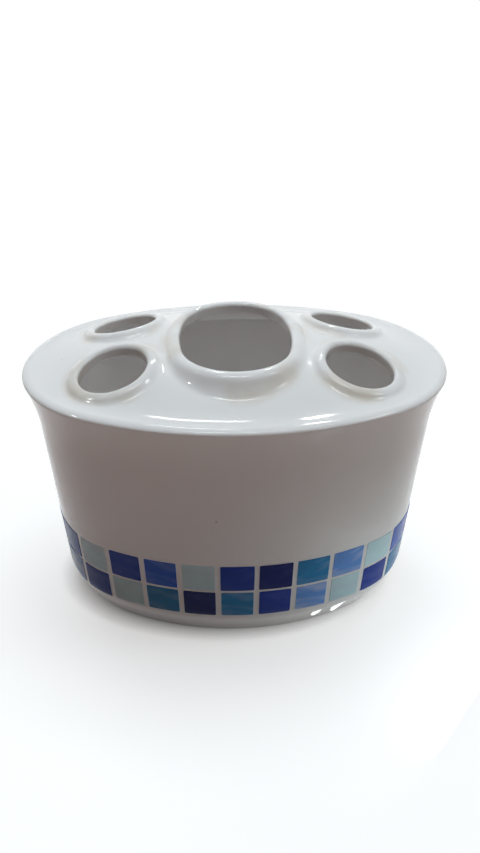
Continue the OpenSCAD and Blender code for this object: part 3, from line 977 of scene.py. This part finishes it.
def seen_or_lit(tree, seen, lit):
    """One shader for camera, glossy and transmission rays and another for the rest."""
    rays = tree.add("ShaderNodeLightPath").outputs
    direct = tree.maths("MAXIMUM", rays["Is Camera Ray"], rays["Is Glossy Ray"])
    direct = tree.maths("MAXIMUM", direct, rays["Is Transmission Ray"])
    return tree.result("ShaderNodeMixShader", direct, lit, seen)


def make_world(look):
    """A backdrop that shows white and lights the holder as a dim room does."""
    world = bpy.data.worlds.new("room")
    world.use_nodes = True
    world.node_tree.nodes.clear()
    tree = Tree(world.node_tree)
    seen = tree.result("ShaderNodeBackground", (*look.background, 1), 1.0)
    lit = tree.result("ShaderNodeBackground", (*look.room, 1), 1.0)
    tree.add("ShaderNodeOutputWorld", seen_or_lit(tree, seen, lit))
    bpy.context.scene.world = world


def make_floor(look, foot):
    """A plain floor that shows white and keeps the holder's shadow, with a painted contact shadow, its
    deepest part, round the foot.

    foot is half the length and half the width of the foot's outline.
    """
    half = 1.5
    white_from, white_to = 0.1, 0.3
    shade_from, shade_to = 0.08, 0.24
    grey, near_glow, contact_shadow_glow = (0.6, 0.6, 0.6, 1), 0.6, 0.12
    contact_shadow_shift, contact_shadow_ends = (0.004, 0, 0), 1.2
    corners = [(-half, -half, 0), (half, -half, 0), (half, half, 0), (-half, half, 0)]
    floor = mesh_piece("floor", corners, faces=[(0, 1, 2, 3)])
    material, tree = new_material("floor")
    place = tree.add("ShaderNodeTexCoord").outputs["Object"]
    distance = tree.length(place)
    # Painted shadow in the floor's bounce light: darker close to the holder
    shade = tree.ramp(distance, shade_from, shade_to)
    dimmed = tree.mix_colour(shade, (*look.floor_shade, 1), (*look.floor, 1))
    lit = tree.result("ShaderNodeBsdfDiffuse", dimmed)
    # Painted contact shadow: the white glow is weaker in an oval round the foot, centred 4 mm to the left
    shifted = tree.vector("ADD", place, contact_shadow_shift)
    round_foot = tree.result("ShaderNodeMapping", shifted, Scale=(1 / foot[0], 1 / foot[1], 1))
    strength = tree.ramp(tree.length(round_foot), 1.0, contact_shadow_ends, contact_shadow_glow, near_glow)
    glow = tree.result("ShaderNodeEmission", (*look.background, 1), strength)
    near = tree.result("ShaderNodeAddShader", tree.result("ShaderNodeBsdfDiffuse", grey), glow)
    far = tree.result("ShaderNodeEmission", (*look.background, 1), 1.0)
    seen = tree.result("ShaderNodeMixShader", tree.ramp(distance, white_from, white_to), near, far)
    tree.add("ShaderNodeOutputMaterial", seen_or_lit(tree, seen, lit))
    floor.data.materials.append(material)


def make_camera(look):
    """The camera at the photograph's angle."""
    data = bpy.data.cameras.new("camera")
    data.lens = look.lens
    data.clip_start = 0.01
    camera = new_piece("camera", data)
    eye, aim = Vector(look.eye), Vector(look.aim)
    turn = (aim - eye).to_track_quat("-Z", "Y").to_matrix().to_4x4()
    camera.matrix_world = Matrix.Translation(eye) @ turn @ Matrix.Rotation(look.roll, 4, "Z")
    bpy.context.scene.camera = camera


def add_lamp(name, spot, aim, size, power, tint, gives, shape="RECTANGLE"):
    """An area lamp at spot that shines on aim; power is in watts and sizes in metres.

    It gives light, glints (it shows in glossy surfaces) or both.
    """
    data = bpy.data.lights.new(name, "AREA")
    data.shape = shape
    data.size, data.size_y = size
    data.energy = power
    data.color = tint
    lamp = new_piece(name, data)
    lamp.location = spot
    lamp.rotation_euler = (Vector(aim) - Vector(spot)).to_track_quat("-Z", "Y").to_euler()
    lamp.visible_camera = False
    lamp.visible_diffuse = "light" in gives
    lamp.visible_glossy = "glints" in gives


def make_lamps(top):
    """Soft lamps for the holder, small ones for its glints, and two tiny ones for those on its foot."""
    sky, window, rear, table, white = (
        (0.83, 0.943, 1.0), (0.93, 1.0, 1.0), (0.97, 0.99, 1.0), (0.78, 0.97, 1.0), (1.0, 1.0, 1.0)
    )
    foot_right = (0.042, -0.03, 0.02)
    # Name, place, aim, size, power, tint and what it gives
    lamps = [
        ("ceiling", (0.05, 0.13, 0.95), top, (0.6, 0.45), 5.6, sky, "light"),
        ("window_right", (0.62, -0.08, 0.88), top, (0.16, 0.16), 0.8, window, "light and glints"),
        ("window_rear", (-0.5, 0.85, 0.4), top, (0.5, 0.4), 2.2, rear, "light"),
        ("table_glow", (0.074, -0.060, 0.002), foot_right, (0.05, 0.03), 0.0155, table, "light"),
        ("tube_rear", (-0.067, 0.64, 0.85), top, (0.24, 0.012), 0.6, white, "glints"),
        ("bulb_rear", (0.2, 0.68, 0.8), top, (0.06, 0.03), 0.9, white, "glints"),
        ("bulb_left", (-0.68, -0.06, 0.82), top, (0.05, 0.05), 0.8, white, "glints"),
        ("skylight", (0, -0.08, 0.95), top, (0.4, 0.05), 1.4, white, "glints"),
    ]
    for lamp in lamps:
        add_lamp(*lamp)
    foot_glints = [
        ("foot_glint_left", (0.0279, -0.0297, 0.0008), (0.0045, 0.0016), 0.00004),
        ("foot_glint_right", (0.0362, -0.0268, 0.0008), (0.007, 0.002), 0.00008),
    ]
    for name, spot, size, power in foot_glints:
        straight_up = (*spot[:2], 1)
        add_lamp(name, spot, straight_up, size, power, window, "glints", "ELLIPSE")


def make_stage(settings):
    """Camera, floor, backdrop and lamps."""
    look = settings.stage
    scene = bpy.context.scene
    scene.view_settings.view_transform = "Standard"
    scene.cycles.max_bounces = scene.cycles.diffuse_bounces = look.bounces
    make_world(look)
    shape = HolderShape(settings)
    foot_inset = float(shape.toe_centre(0, 0, settings.wall.foot_rounding)[0])
    make_floor(look, (shape.half_l + foot_inset, shape.half_w + foot_inset))
    make_camera(look)
    make_lamps((0, 0, shape.rim))


# Operators


class HOLDER_OT_vessel(bpy.types.Operator):
    """Build the vessel: wall, rim, floor and foot"""

    bl_idname = "holder.vessel"
    bl_label = "Vessel"

    def execute(self, context):
        make_vessel(context.scene.holder)
        return {"FINISHED"}


class HOLDER_OT_deck(bpy.types.Operator):
    """Build the deck with its five mouths"""

    bl_idname = "holder.deck"
    bl_label = "Deck"

    def execute(self, context):
        make_deck(context.scene.holder)
        return {"FINISHED"}


class HOLDER_OT_squares(bpy.types.Operator):
    """Lay the mosaic squares round the wall"""

    bl_idname = "holder.squares"
    bl_label = "Mosaic squares"

    def execute(self, context):
        make_squares(context.scene.holder)
        return {"FINISHED"}


class HOLDER_OT_stage(bpy.types.Operator):
    """Set up the camera, the floor, the backdrop and the lamps"""

    bl_idname = "holder.stage"
    bl_label = "Stage"

    def execute(self, context):
        make_stage(context.scene.holder)
        return {"FINISHED"}


OPERATORS = (HOLDER_OT_stage, HOLDER_OT_vessel, HOLDER_OT_deck, HOLDER_OT_squares)


class HOLDER_PT_panel(bpy.types.Panel):
    """The holder's pieces and settings"""

    bl_idname = "HOLDER_PT_panel"
    bl_label = "Toothbrush holder"
    bl_space_type = "VIEW_3D"
    bl_region_type = "UI"
    bl_category = "Holder"

    def draw(self, context):
        for operator in OPERATORS:
            self.layout.operator(operator.bl_idname)
        settings = context.scene.holder
        for part in settings.__annotations__:
            box = self.layout.box()
            box.label(text=part.capitalize())
            group = getattr(settings, part)
            for name in group.__annotations__:
                box.prop(group, name)


CLASSES = (
    HolderOutline, HolderWall, HolderDeck, HolderMouths, HolderBand, HolderGlaze, HolderEnamel, HolderStage,
    HolderSettings, *OPERATORS, HOLDER_PT_panel,
)


def register():
    for cls in CLASSES:
        bpy.utils.register_class(cls)
    bpy.types.Scene.holder = PointerProperty(type=HolderSettings)


def unregister():
    del bpy.types.Scene.holder
    for cls in reversed(CLASSES):
        bpy.utils.unregister_class(cls)


def main():
    register()
    for operator in OPERATORS:
        getattr(bpy.ops.holder, operator.bl_idname.split(".")[1])()


if __name__ == "__main__":
    main()
